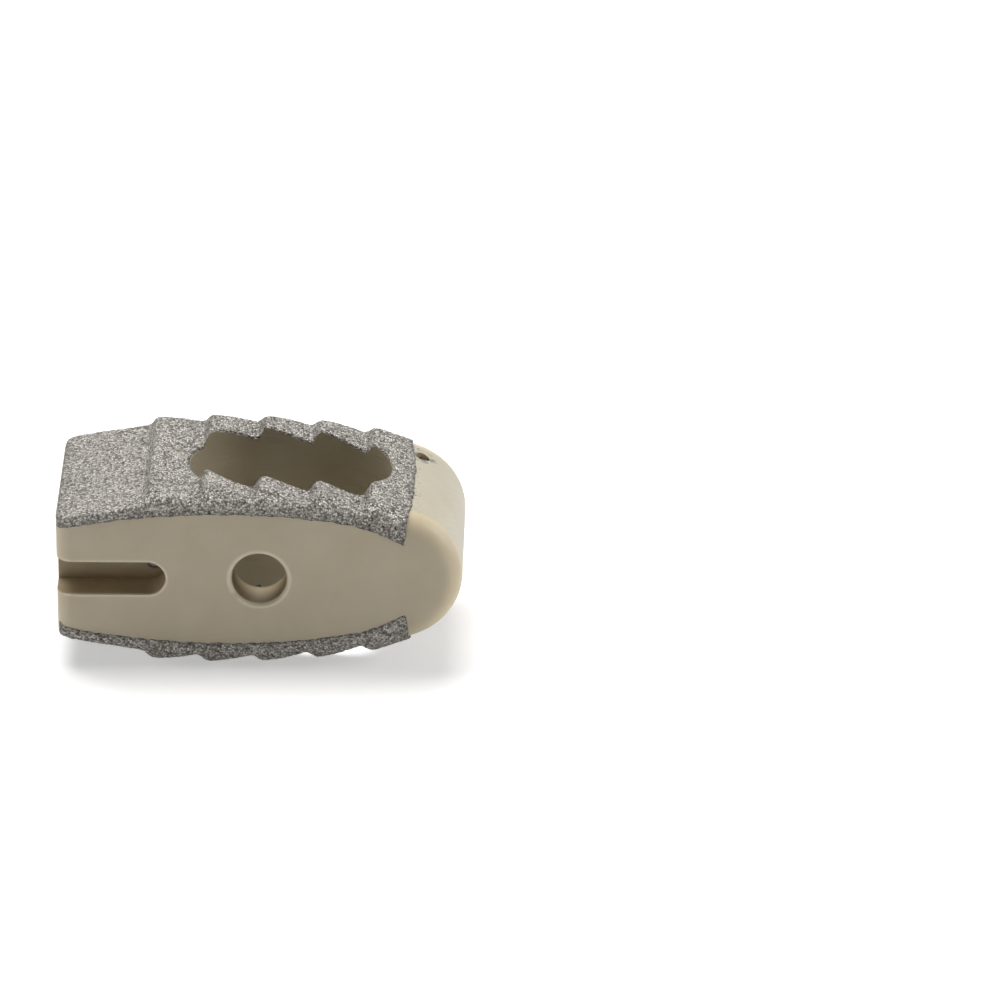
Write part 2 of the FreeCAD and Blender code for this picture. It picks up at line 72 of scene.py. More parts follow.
# The white room: its light on the cage, and each lamp's place, size and power in watts.
ROOM_LIGHT = 0.05
SOFTBOXES = {
    "overhead_softbox": ((-30, 110, 320), (260, 200), 1.25),
    "right_softbox": ((300, -20, 130), (120, 160), 0.33),
    "left_softbox": ((-300, -15, 60), (120, 120), 0.16),
}

# The paper floor: half its width, its colour, and what lifts its lit parts to white.
FLOOR_REACH = 600.0
PAPER_COLOUR = (0.86, 0.86, 0.86, 1)
FLOOR_LIFT = 0.42

# Sizes of the cage, as in its solids.
CAGE_LENGTH = 22.0
CAGE_HALF_WIDTH = 5.0
CAGE_HALF_HEIGHT = 5.25
CROWN_RADIUS = 43.8
CROWN_PEAK = 9.1
DOME_CENTRE = CAGE_HALF_HEIGHT - CROWN_RADIUS
NOSE_RADIUS = 3.9
NOSE_CENTRE = CAGE_LENGTH - NOSE_RADIUS
EDGE_RADIUS = 1.1
REAR_RADIUS = 0.9
FLAT_HALF = CAGE_HALF_WIDTH - EDGE_RADIUS
TOOTH_COUNT = 5
TOOTH_PITCH = 3.0
TOOTH_DEPTH = 0.8
TOOTH_START = 4.7
TOOTH_RISE = 0.4
TOOTH_LAND = 0.2
LAND_REAR = -2.0
WINDOW_HALF_WIDTH = 3.0
WINDOW_REAR = 7.1
WINDOW_FRONT = 18.1
BORE_PLACE = CAGE_LENGTH / 2
BORE_RADIUS = 1.5
BORE_BREAK = 0.15
SLOT_RADIUS = 1.0
SLOT_LENGTH = 5.95
SLOT_DEPTH = 2.0
SLOT_BEND = SLOT_LENGTH - SLOT_RADIUS
SLOT_FLOOR = CAGE_HALF_WIDTH - SLOT_DEPTH
NOSE_PIN_OFFSET = 2.9
MASK_DEPTH = 1.35
MASK_RADIUS = CROWN_RADIUS - MASK_DEPTH
MASK_BEND = 15.0
MASK_BEND_RADIUS = 10.0
THREAD_RADIUS = 2.0
THREAD_DEPTH = 3.4

# The sprayed titanium: full on the bearing faces, thin where the spray grazes the sides.
# The mask's front edge is bowed, and meets the sides at the bow's end.
COAT = 0.2
SIDE_COAT = 0.1
COAT_REAR = 0.015
COAT_FRONT = 19.39
FRONT_BOW = 0.012
BOW_END = 19.0

# Softened teeth: how far their profile is blurred on the middle of the face, how far at its
# edges, from where to where the one gives way to the other, and how they meet the crown.
TOOTH_SOFTNESS = 0.09
EDGE_SOFTNESS = 0.15
SOFTER_FROM = 2.4
SOFTER_TO = 4.0
MEETING_SOFTNESS = 0.1
PROFILE_STEP = 0.005
PROFILE_MARGIN = 1.0

# Grains: the relief on the faces and on the sides, each size with its part of the relief,
# and the radius of a grain's cap, in grain sizes.
GRAIN_RELIEF = 0.1
SIDE_RELIEF = 0.078
GRAIN_SIZES = ((0.34, 0.3), (0.2, 0.45), (0.12, 0.25))
GRAIN_RADIUS = 0.85

# Ragged edges: the waves round the mask's edge and how far each set pushes it, and those
# round the window's rim, as shares of the distance from the window's middle. Both edges are
# rounded off, and fall by a share of the coat there.
MASK_WAVES = ((330, 0.045), (120, 0.035))
RIM_WAVES = 260
RIM_OUTSET = 0.006
RIM_SWING = 0.004
RIM_ROUNDING = 0.16
RIM_FALL = 0.55

# Values that a skin's mesh carries for its painted shade: the nearness of the mask's edge,
# which fades over this distance, and a middling value on the hidden back sheet.
EDGE_SHADE_FADE = 0.2
UNSEEN = 0.5

# The sheet that closes a skin below: its shares of the way from the rim to the mask's edge,
# how deep it lies under the face and the tooth roots, and how far it draws in at the sides.
BACK_SHARES = np.array([0, 0.02, 0.2, 0.4, 0.6, 0.8, 0.98, 1])
BACK_SINK = 0.12
ROOT_CLEARANCE = 0.1
SIDE_TUCK = 0.3
TUCK_REACH = 0.6
SEAM_SINK = 0.03

# Grid of a skin, round its rim and from the window out to the mask's edge, and the seeds of
# its grains and ragged edges.
ROUND_STEPS = 1080
OUTWARD_STEPS = 82
UPPER_SEED = 20
LOWER_SEED = 27

# Ridge of the inserter's thread: its ends along the hole, its height over the wall and how
# far it is sunk there, half its width at the root and at the crest, and the share of its
# height that is left at its ends.
THREAD_PITCH = 0.7
THREAD_STEPS = 60
RIDGE_START = 0.4
RIDGE_END = THREAD_DEPTH - 0.35
RIDGE_HEIGHT = 0.36
RIDGE_SINK = 0.03
RIDGE_ROOT = 0.33
RIDGE_CREST = 0.06
RIDGE_FLATTEST = 0.02

# Colours of the finishes, and what the plastic's colour is multiplied by: painted shade in
# the window, the bore and the slots, a darker, greyer tone on the nose's flat top, and a
# painted highlight on the nose's rounded edges.
PLASTIC_TONES = {0.3: (0.59, 0.506, 0.36), 0.7: (0.63, 0.55, 0.4)}
SHADE_HIGHLIGHT_AND_TONE_TINTS = {
    # Painted shade inside the window, the bore and the slots.
    "window": (0.71, 0.715, 0.72),
    "bore": (0.52, 0.48, 0.42),
    "slot": (0.68, 0.64, 0.56),
    "nose_flat": (0.86, 0.9, 0.945),
    # Painted highlight on the nose's rounded edges.
    "nose_edge": (1.1, 1.09, 1.04),
}
# Painted highlight: the pale colour put in specks along the edges of the bore and the slots.
EDGE_HIGHLIGHT_COLOUR = (0.82, 0.74, 0.58)
STRAY_SPRAY_COLOUR = (0.2, 0.185, 0.16)
TITANIUM_TONES = {
    0.0: (0.14, 0.127, 0.108),
    0.25: (0.26, 0.241, 0.214),
    0.6: (0.37, 0.35, 0.318),
    1.0: (0.56, 0.535, 0.495),
}
TANTALUM_TONES = {0.0: (0.15, 0.145, 0.14), 1.0: (0.33, 0.325, 0.32)}

# Where the cuts fade in, from nothing to full: along the cage, aside from its middle, or
# past the outline of the bore or the slot.
WINDOW_ASIDE = (WINDOW_HALF_WIDTH + 0.2, WINDOW_HALF_WIDTH + 0.05)
WINDOW_BEHIND = (WINDOW_REAR - 0.4, WINDOW_REAR - 0.15)
WINDOW_AHEAD = (WINDOW_FRONT + 0.5, WINDOW_FRONT + 0.1)
BORE_WALL = (-0.08, -0.14)
BORE_ASIDE = (CAGE_HALF_WIDTH - 0.1, CAGE_HALF_WIDTH - 0.25)
SLOT_WALL = (0.06, 0.0)
SLOT_ASIDE = (CAGE_HALF_WIDTH - 0.05, CAGE_HALF_WIDTH - 0.2)
SLOT_BOTTOM = (SLOT_FLOOR - 0.1, SLOT_FLOOR - 0.02)
NOSE_BEHIND = (WINDOW_FRONT + 0.2, WINDOW_FRONT + 0.5)
NOSE_FLAT_ASIDE = (FLAT_HALF + 0.2, FLAT_HALF - 0.15)
NOSE_EDGE_ASIDE = (CAGE_HALF_WIDTH - 0.01, CAGE_HALF_WIDTH - 0.15)
# Band of painted highlight along the bore's and the slots' edges, and how far aside it reaches.
EDGE_HIGHLIGHT_BAND = (0.16, 0.02)
EDGE_HIGHLIGHT_ASIDE = (CAGE_HALF_WIDTH - 0.3, CAGE_HALF_WIDTH - 0.05)

# Stray spray on the nose: the middle of its cloud at the marker pin, and where it fades in
# round that, ahead of the mask and above the mid-plane.
CLOUD_PLACE = 19.8
CLOUD_FADE = (0.85, 0.45)
MASK_FADE = (COAT_FRONT + 0.36, COAT_FRONT - 0.04)
SPRAY_ABOVE = (0.0, 1.0)

# Specks: how fine their noise is, and the values at which a speck begins and is full.
# Specks of painted highlight along the edges of the bore and the slots.
EDGE_HIGHLIGHT_SPECKS = (900.0, 0.2, 0.45)
CLOUD_SPECKS = (2600.0, 0.5, 0.6)
MASK_SPECKS = (6000.0, 0.58, 0.64)

# Lines of the milling cutter: their slant on the nose in degrees, and their height there,
# where 1 is that of the lines round the window's wall.
NOSE_LINE_SLANT = 24
NOSE_LINE_HEIGHT = 0.5


# Shader nodes. A helper that is given a socket works in that socket's node tree.


def put(value, socket):
    """Plain value, or another node's output, into a socket."""
    if isinstance(value, bpy.types.NodeSocket):
        socket.id_data.links.new(value, socket)
    else:
        socket.default_value = value


def fill(node, inputs):
    """Values or outputs into a node's sockets, by their names."""
    for name, value in inputs.items():
        put(value, node.inputs[name.replace("_", " ")])


def add_node(tree, kind, settings=None, **inputs):
    """New shader node, with its own settings and what goes into its sockets."""
    node = tree.nodes.new(kind)
    for name, value in (settings or {}).items():
        setattr(node, name, value)
    fill(node, inputs)
    return node


def calculate(operation, first, *others):
    """Math node on a socket, and on other sockets or plain numbers."""
    node = add_node(first.id_data, "ShaderNodeMath", {"operation": operation})
    for value, socket in zip((first, *others), node.inputs):
        put(value, socket)
    return node.outputs["Value"]


def all_of(*masks):
    """Masks multiplied together: 1 only where each of them is."""
    return functools.reduce(functools.partial(calculate, "MULTIPLY"), masks)


def fade(value, start, end, low=0.0, high=1.0):
    """Low at the start value and high at the end value, level outside them."""
    return add_node(value.id_data, "ShaderNodeMapRange", Value=value, From_Min=start,
                    From_Max=end, To_Min=low, To_Max=high).outputs["Result"]


def fade_in(value, stretch):
    """0 where a stretch in millimetres starts and 1 where it ends."""
    start, end = stretch
    return fade(value, start * MM, end * MM)


def distance(first, second):
    """Length of a line from its two parts at right angles: the root of their squares."""
    return calculate("SQRT", calculate("ADD", all_of(first, first), all_of(second, second)))


def past_circle(along, up, centre, radius):
    """How far outside a circle round a cross axis a place lies, and below 0 inside it."""
    ahead = calculate("SUBTRACT", along, centre * MM)
    return calculate("SUBTRACT", distance(ahead, up), radius * MM)


def mix(blend, colour, mask, other):
    """The colour blended with another one where the mask is 1."""
    return add_node(colour.id_data, "ShaderNodeMix", {"data_type": "RGBA", "blend_type": blend},
                    Factor=mask, A=colour, B=other).outputs["Result"]


def colour_ramp(value, tones):
    """Colours set at their places on a ramp, and blended between them."""
    node = add_node(value.id_data, "ShaderNodeValToRGB", Fac=value)
    places = sorted(tones)
    steps = node.color_ramp.elements
    steps[0].position = places[0]
    steps[1].position = places[-1]
    for place in places[1:-1]:
        steps.new(place)
    for step, place in zip(steps, places):
        step.color = (*tones[place], 1)
    return node.outputs["Color"]


def noise(where, scale, detail):
    """Clouds of values from 0 to 1, finer with the scale and rougher with the detail."""
    return add_node(where.id_data, "ShaderNodeTexNoise", Vector=where, Scale=scale,
                    Detail=detail).outputs["Fac"]


def specks(where, scale, start, end):
    """Small cloudy specks of 1 on 0."""
    return fade(noise(where, scale, 2.0), start, end)


def new_finish(name, **inputs):
    """Material, with what goes into its shader's sockets, and that shader."""
    material = bpy.data.materials.new(name)
    material.use_nodes = True
    shader = material.node_tree.nodes["Principled BSDF"]
    fill(shader, inputs)
    return material, shader


def own_places(material):
    """The places on a piece, from its own origin in metres, that its patterns follow."""
    return add_node(material.node_tree, "ShaderNodeTexCoord").outputs["Object"]


# The stand: camera, floor and lights.


def add_camera():
    """The photograph's camera, at its place and with its lens."""
    lens = bpy.data.cameras.new("camera")
    lens.lens = CAMERA_LENS
    lens.sensor_width = SENSOR_WIDTH
    lens.clip_start, lens.clip_end = (reach * MM for reach in CAMERA_REACH)
    camera = bpy.data.objects.new("camera", lens)
    camera.location = Vector(CAMERA_PLACE) * MM
    camera.rotation_euler = (math.radians(CAMERA_TILT), 0.0, math.radians(CAMERA_PAN))
    bpy.context.scene.collection.objects.link(camera)
    bpy.context.scene.camera = camera


def seen_directly(tree):
    """1 for rays from the camera and in mirror-like reflections, 0 for those that light."""
    rays = add_node(tree, "ShaderNodeLightPath").outputs
    direct = calculate("MAXIMUM", rays["Is Camera Ray"], rays["Is Glossy Ray"])
    return calculate("MAXIMUM", direct, rays["Is Transmission Ray"])


def paper_white():
    """Pale paper, shaded by the lamps and the cage's shadow, with a glow where it is seen
    that lifts its lit parts to white."""
    paper, shader = new_finish("paper_white", Base_Color=PAPER_COLOUR, Roughness=0.9,
                               Emission_Color=(1, 1, 1, 1))
    glow = calculate("MULTIPLY", seen_directly(paper.node_tree), FLOOR_LIFT)
    put(glow, shader.inputs["Emission Strength"])
    return paper


def add_floor():
    """Square sheet of paper at the height of the cage's lowest point."""
    mesh = bpy.data.meshes.new("floor")
    reach = FLOOR_REACH * MM
    corners = [(-reach, -reach), (reach, -reach), (reach, reach), (-reach, reach)]
    mesh.from_pydata([(x, y, cad_box[0][2]) for x, y in corners], [], [(0, 1, 2, 3)])
    floor = bpy.data.objects.new("floor", mesh)
    bpy.context.scene.collection.objects.link(floor)
    mesh.materials.append(paper_white())


def add_softbox(name, place, size, power):
    """Rectangular lamp, turned to the middle of the cage."""
    lamp = bpy.data.lights.new(name, "AREA")
    lamp.shape = "RECTANGLE"
    lamp.size, lamp.size_y = (side * MM for side in size)
    lamp.energy = power
    softbox = bpy.data.objects.new(name, lamp)
    softbox.location = Vector(place) * MM
    aim = Vector((CAGE_LENGTH / 2, 0, 0)) * MM - softbox.location
    softbox.rotation_euler = aim.to_track_quat("-Z", "Y").to_euler()
    bpy.context.scene.collection.objects.link(softbox)


def light_the_room():
    """White walls that are seen at full strength and light the cage faintly, and lamps."""
    world = bpy.data.worlds.new("white_room")
    world.use_nodes = True
    strength = fade(seen_directly(world.node_tree), 0.0, 1.0, low=ROOM_LIGHT)
    fill(world.node_tree.nodes["Background"], {"Color": (1, 1, 1, 1), "Strength": strength})
    bpy.context.scene.world = world
    for name, (place, size, power) in SOFTBOXES.items():
        add_softbox(name, place, size, power)


# The toothed, domed bearing face, seen from the side: x along the cage, z up.


def on_dome(radius, along):
    """Point at a radius from the dome's centre, a length along the dome from its peak."""
    turn = along / CROWN_RADIUS
    return CROWN_PEAK + radius * math.sin(turn), DOME_CENTRE + radius * math.cos(turn)


def tooth_heel(index):
    """Length along the dome from its peak to the end of a tooth's short level top."""
    return TOOTH_START + TOOTH_RISE + TOOTH_LAND + index * TOOTH_PITCH - CROWN_PEAK


def ramp_fall():
    """Angle of the line from the last tooth's heel that touches the round nose."""
    x, z = on_dome(CROWN_RADIUS, tooth_heel(TOOTH_COUNT - 1))
    back = x - NOSE_CENTRE
    return math.atan(back / z) + math.acos(NOSE_RADIUS / math.hypot(back, z))


def line_level(x, start, end):
    """Height at x of the straight line through two points."""
    return start[1] + (x - start[0]) * (end[1] - start[1]) / (end[0] - start[0])


def crown_level(x):
    """Height of the sprayed crown: the lowest of the flats' planes, each from one tooth's
    heel to the next, and of the ramp's plane down to the nose."""
    turns = [(tooth_heel(i) - TOOTH_PITCH / 2) / CROWN_RADIUS for i in range(TOOTH_COUNT)]
    reach = (CROWN_RADIUS + COAT) * math.cos(TOOTH_PITCH / 2 / CROWN_RADIUS)
    flats = [DOME_CENTRE + (reach - (x - CROWN_PEAK) * math.sin(turn)) / math.cos(turn)
             for turn in turns]
    fall = ramp_fall()
    ramp = (NOSE_RADIUS + COAT - (x - NOSE_CENTRE) * math.sin(fall)) / math.cos(fall)
    return np.minimum.reduce(flats + [ramp])


def tooth_level(x):
    """Height left by the tooth cutters: at each root, the higher of the long flank behind
    it and the steep flank ahead of it. Behind the first tooth lies a smooth land."""
    crown = CROWN_RADIUS + COAT
    cuts = []
    for index in range(TOOTH_COUNT):
        along = TOOTH_START + index * TOOTH_PITCH - CROWN_PEAK
        foot = on_dome(crown - TOOTH_DEPTH, along)
        tip = on_dome(crown, along + TOOTH_RISE)
        behind = (on_dome(crown, tooth_heel(index - 1)) if index
                  else on_dome(crown - TOOTH_DEPTH, LAND_REAR - CROWN_PEAK))
        cuts.append(np.maximum(line_level(x, behind, foot), line_level(x, foot, tip)))
    return np.minimum.reduce(cuts)


def soft_profile(softness):
    """The toothed profile as places and heights, blurred along the cage as the spray softens
    its corners, by a bell curve that ends at four times the softness."""
    x = np.arange(-PROFILE_MARGIN, CAGE_LENGTH + PROFILE_MARGIN, PROFILE_STEP)
    sharp = np.minimum(crown_level(x), tooth_level(x))
    reach = round(4 * softness / PROFILE_STEP)
    weights = np.exp(-0.5 * (np.arange(-reach, reach + 1) * PROFILE_STEP / softness) ** 2)
    padded = np.pad(sharp, reach, mode="edge")
    return x, np.convolve(padded, weights / weights.sum(), mode="valid")


def rear_inset(x):
    """How far the rounding round the rear face draws the sides in: a quarter circle."""
    radius = REAR_RADIUS + SIDE_COAT
    ahead = np.clip((REAR_RADIUS - x) / radius, 0, 1)
    return radius * (1 - np.sqrt(1 - ahead ** 2))


def mask_level(x):
    """Lower edge of the titanium: an arc about the dome's centre, then a tighter one."""
    reach = math.sqrt(MASK_RADIUS ** 2 - (MASK_BEND - CROWN_PEAK) ** 2)
    share = MASK_BEND_RADIUS / MASK_RADIUS
    bend_x = MASK_BEND + (CROWN_PEAK - MASK_BEND) * share
    bend_z = DOME_CENTRE + reach * (1 - share)
    along = np.sqrt(MASK_RADIUS ** 2 - (x - CROWN_PEAK) ** 2) + DOME_CENTRE
    down = np.sqrt(MASK_BEND_RADIUS ** 2 - np.maximum(x - bend_x, 0) ** 2) + bend_z
    return np.where(x < MASK_BEND, along, down)


# A sprayed skin: x along the cage and s across it, measured over the rounded edges.


def edge_radius_at(x):
    """Radius of the sprayed long edges, less what the rear face's rounding takes."""
    return EDGE_RADIUS + SIDE_COAT - rear_inset(x)


def skin_reach(x):
    """Length across the section from the middle to the mask's edge: flat, quarter circle,
    then straight down the side."""
    radius = edge_radius_at(x)
    drop = crown_level(x) - rear_inset(x) - mask_level(x)
    on_round = radius * np.arccos(np.clip(1 - drop / radius, -1, 1))
    down_side = radius * math.pi / 2 + drop - radius
    return FLAT_HALF + np.where(drop < radius, on_round, down_side)


def skin_surface(x, s):
    """Smooth sprayed face: a flat with quarter-round edges and straight sides below them,
    cut off at the height of the soft tooth profile. The lower of the two heights is taken
    softly: half of their sum less the root of their gap squared plus the softness squared."""
    radius = edge_radius_at(x)
    past_flat = np.maximum(np.abs(s) - FLAT_HALF, 0)
    turn = np.minimum(past_flat / radius, math.pi / 2)
    y = np.sign(s) * (np.minimum(np.abs(s), FLAT_HALF) + radius * np.sin(turn))
    drop = radius * (1 - np.cos(turn)) + np.maximum(past_flat - radius * math.pi / 2, 0)
    block = crown_level(x) - rear_inset(x) - drop
    softer = np.clip((np.abs(s) - SOFTER_FROM) / (SOFTER_TO - SOFTER_FROM), 0, 1)
    teeth = np.interp(x, *soft_profile(TOOTH_SOFTNESS)) * (1 - softer)
    teeth += np.interp(x, *soft_profile(EDGE_SOFTNESS)) * softer
    z = (block + teeth - np.hypot(block - teeth, MEETING_SOFTNESS)) / 2
    return np.stack([x, y, z], axis=-1)


def window_rim(length):
    """Point on the graft window's outline, a slot with round ends, at a length round it
    from the start of its near straight side."""
    radius = WINDOW_HALF_WIDTH
    rear, front = WINDOW_REAR + radius, WINDOW_FRONT - radius
    straight = front - rear
    cap = math.pi * radius
    length = np.mod(length, 2 * (straight + cap))
    near = np.clip(length, 0, straight)
    front_turn = np.clip((length - straight) / radius, 0, math.pi)
    far = np.clip(length - straight - cap, 0, straight)
    rear_turn = np.clip((length - 2 * straight - cap) / radius, 0, math.pi)
    turn = front_turn + rear_turn - math.pi / 2
    x = rear + near - far + radius * np.cos(turn)
    return np.stack([x, radius * np.sin(turn)], axis=-1)


def mask_outline():
    """Outer edge of a skin, anticlockwise from its rear near corner, and the matching
    places round the window: each side of the one is spread over a part of the other, whose
    ends lie on the lines from the window's round ends to the outline's corners."""
    radius = WINDOW_HALF_WIDTH
    straight = WINDOW_FRONT - WINDOW_REAR - 2 * radius
    cap = math.pi * radius
    side_front = COAT_FRONT - FRONT_BOW * skin_reach(BOW_END) ** 2
    reach_front = skin_reach(side_front)
    reach_rear = skin_reach(COAT_REAR)
    rear_part = radius * math.atan2(WINDOW_REAR + radius - COAT_REAR, reach_rear)
    front_part = radius * math.atan2(side_front - WINDOW_FRONT + radius, reach_front)
    ends = [
        -rear_part,
        straight + front_part,
        straight + cap - front_part,
        2 * straight + cap + rear_part,
        2 * straight + 2 * cap - rear_part,
    ]
    lengths = np.array([side_front, 2 * reach_front, side_front, 2 * reach_rear])
    counts = np.round(lengths / lengths.sum() * ROUND_STEPS).astype(int)
    counts[0] += ROUND_STEPS - counts.sum()
    parts = [np.arange(count) / count for count in counts]
    inner = [start + (end - start) * part for part, start, end in zip(parts, ends, ends[1:])]

    near, front, far, rear = parts
    near_x = COAT_REAR + (side_front - COAT_REAR) * near
    far_x = COAT_REAR + (side_front - COAT_REAR) * (1 - far)
    front_s = reach_front * (2 * front - 1)
    outer = [
        np.stack([near_x, -skin_reach(near_x)], axis=-1),
        np.stack([COAT_FRONT - FRONT_BOW * front_s ** 2, front_s], axis=-1),
        np.stack([far_x, skin_reach(far_x)], axis=-1),
        np.stack([np.full(rear.shape, COAT_REAR), reach_rear * (1 - 2 * rear)], axis=-1),
    ]
    return np.concatenate(outer), window_rim(np.concatenate(inner))


def ragged(count, waves, seed):
    """Closed run of numbers from -1 to 1: random values spread round, joined smoothly."""
    random = np.random.default_rng(seed)
    places = np.arange(count) / count * waves
    values = random.uniform(-1, 1, waves)
    here = np.floor(places).astype(int)
    part = places - here
    part = part * part * (3 - 2 * part)
    return values[here % waves] * (1 - part) + values[(here + 1) % waves] * part


def ragged_outlines(seed):
    """The mask's edge, pushed in and out from the window's middle except along the rear
    face, and the window's rim, moved outward by an uneven share of that distance."""
    outer, rim = mask_outline()
    middle = np.array([(WINDOW_REAR + WINDOW_FRONT) / 2, 0.0])
    away = outer - middle
    away /= np.linalg.norm(away, axis=-1, keepdims=True)
    push = sum(reach * ragged(ROUND_STEPS, waves, seed + index)
               for index, (waves, reach) in enumerate(MASK_WAVES))
    push[outer[:, 0] <= COAT_REAR] = 0
    swing = ragged(ROUND_STEPS, RIM_WAVES, seed + len(MASK_WAVES))
    stretch = 1 + RIM_OUTSET + RIM_SWING * swing
    return outer + away * push[:, None], middle + (rim - middle) * stretch[:, None]


def lattice_random(cell, seed):
    """Three numbers from 0 to 1 for each cube of a lattice, always the same for that cube:
    its three counts and the seed, multiplied by large odd numbers and folded over."""
    key = cell @ np.array([73856093, 19349663, 83492791]) + seed * 961748927
    key = key[..., None] * np.array([2654435761, 2246822519, 3266489917])
    key = (key ^ (key >> 15)) * 2246822519
    key = key ^ (key >> 13)
    return (key & 0xFFFF) / 0xFFFF


def grain_distance(points, size, seed):
    """Distance to the nearest grain, in grain sizes: one grain sits at random in each cube
    of a lattice, and the cubes round each point are searched."""
    cell = np.floor(points / size).astype(np.int64)
    inside = points / size - cell
    nearest = np.full(points.shape[:-1], np.inf)
    for step in itertools.product((-1, 0, 1), repeat=3):
        grain = np.array(step) + lattice_random(cell + np.array(step), seed)
        nearest = np.minimum(nearest, np.linalg.norm(grain - inside, axis=-1))
    return nearest


def grain_relief(points, seed):
    """Height of the sprayed grains from 0 to 1: round caps of three sizes, heaped up."""
    height = np.zeros(points.shape[:-1])
    for size, part in GRAIN_SIZES:
        from_grain = grain_distance(points, size, seed + round(size * 100))
        height += part * np.sqrt(np.clip(1 - (from_grain / GRAIN_RADIUS) ** 2, 0, 1))
    return height


def grid_normals(points):
    """Unit normals of a grid whose first direction runs round and whose second runs out."""
    round_way = np.roll(points, -1, axis=0) - np.roll(points, 1, axis=0)
    outward = np.gradient(points, axis=1)
    normals = np.cross(outward, round_way)
    normals /= np.linalg.norm(normals, axis=-1, keepdims=True)
    return normals


def spread(rim, outer, shares):
    """Grid of places at shares of the way from the rim to the outer edge."""
    return rim[:, None] + (outer - rim)[:, None] * shares[:, None]


def rounded_fall(from_edge):
    """Fall of a rounded edge, a quarter circle, as a share of its radius."""
    return 1 - np.sqrt(1 - np.clip(1 - from_edge / RIM_ROUNDING, 0, 1) ** 2)


def coat_thickness(normals):
    """Full where the face looks up, thin where it looks aside."""
    return SIDE_COAT + (COAT - SIDE_COAT) * np.clip(normals[..., 2], 0, 1)


def front_sheet(face, normals, relief, from_rim, from_edge):
    """The sprayed face, sunk along its normals between the grains and at its rounded edges,
    but straight down at the window's rim."""
    upright = np.clip(normals[..., 2], 0, 1)
    depth = (SIDE_RELIEF + (GRAIN_RELIEF - SIDE_RELIEF) * upright) * (1 - relief)
    fall = np.maximum(rounded_fall(from_rim), rounded_fall(from_edge))
    depth += RIM_FALL * coat_thickness(normals) * fall
    near_rim = np.exp(-from_rim / RIM_ROUNDING)[..., None]
    return face - (normals * (1 - near_rim) + UPWARD * near_rim) * depth[..., None]


def back_sheet(rim, outer, face, normals):
    """Plain sheet sunk in the plastic under the face and under a dome below the tooth
    roots, drawn in at the sides. Its two edges lie just under those of the face."""
    x, s = np.moveaxis(spread(rim, outer, BACK_SHARES), -1, 0)
    root = CROWN_RADIUS - TOOTH_DEPTH - ROOT_CLEARANCE
    dome = DOME_CENTRE + np.sqrt(root ** 2 - (x - CROWN_PEAK) ** 2)
    back = skin_surface(x, s)
    inward = np.clip(np.abs(back[..., 1]) - FLAT_HALF, 0, TUCK_REACH) * SIDE_TUCK
    back[..., 1] -= np.sign(back[..., 1]) * inward
    back[..., 2] = np.minimum(back[..., 2], dome) - BACK_SINK
    back[:, 0] = face[:, 0] - UPWARD * (COAT + SEAM_SINK)
    edge_depth = coat_thickness(normals[:, -1]) + SEAM_SINK
    back[:, -1] = face[:, -1] - normals[:, -1] * edge_depth[:, None]
    return back


def ring_faces(columns, rows):
    """Quads of a grid that closes on itself both ways."""
    here = np.arange(columns * rows).reshape(columns, rows)
    further = np.roll(here, -1, axis=1)
    return np.stack([here, further, np.roll(further, -1, axis=0), np.roll(here, -1, axis=0)],
                    axis=-1).reshape(-1, 4)


def make_skin(name, side, seed):
    """One sprayed skin, a ring round the window: the front sheet runs from the window's rim
    to the mask's ragged edge, and the back sheet returns from there to the rim. The lower
    skin is a mirror image with grains of its own."""
    outer, rim = ragged_outlines(seed)
    flat = spread(rim, outer, np.linspace(0, 1, OUTWARD_STEPS + 1))
    face = skin_surface(flat[..., 0], flat[..., 1])
    normals = grid_normals(face)
    relief = grain_relief(face, seed)
    from_rim = np.linalg.norm(flat - rim[:, None], axis=-1)
    from_edge = np.linalg.norm(flat - outer[:, None], axis=-1)
    front = front_sheet(face, normals, relief, from_rim, from_edge)
    back = back_sheet(rim, outer, face, normals)

    ring = np.concatenate([front, back[:, ::-1]], axis=1)
    faces = ring_faces(*ring.shape[:2])
    if side < 0:
        ring[..., 2] *= -1
        faces = faces[:, ::-1]
    hidden = np.full(back.shape[:2], UNSEEN)
    # The grain heights and the nearness of the mask's edge set the titanium's painted shade.
    attributes = {
        "grain_height": np.concatenate([relief, hidden], axis=1),
        "edge_shade_nearness": np.concatenate([np.exp(-from_edge / EDGE_SHADE_FADE), hidden], axis=1),
    }
    return mesh_piece(name, ring, faces, attributes)


def mesh_piece(name, vertices, faces, attributes=None):
    """Smooth-shaded object at the origin from arrays in millimetres, and from values that
    its vertices carry, by their names."""
    mesh = bpy.data.meshes.new(name)
    mesh.from_pydata((vertices.reshape(-1, 3) * MM).tolist(), [], faces.tolist())
    for label, values in (attributes or {}).items():
        layer = mesh.attributes.new(label, "FLOAT", "POINT")
        layer.data.foreach_set("value", values.reshape(-1).astype(np.float32))
    mesh.polygons.foreach_set("use_smooth", np.ones(len(mesh.polygons), dtype=bool))
    mesh.update()
    piece = bpy.data.objects.new(name, mesh)
    bpy.context.scene.collection.objects.link(piece)
    return piece


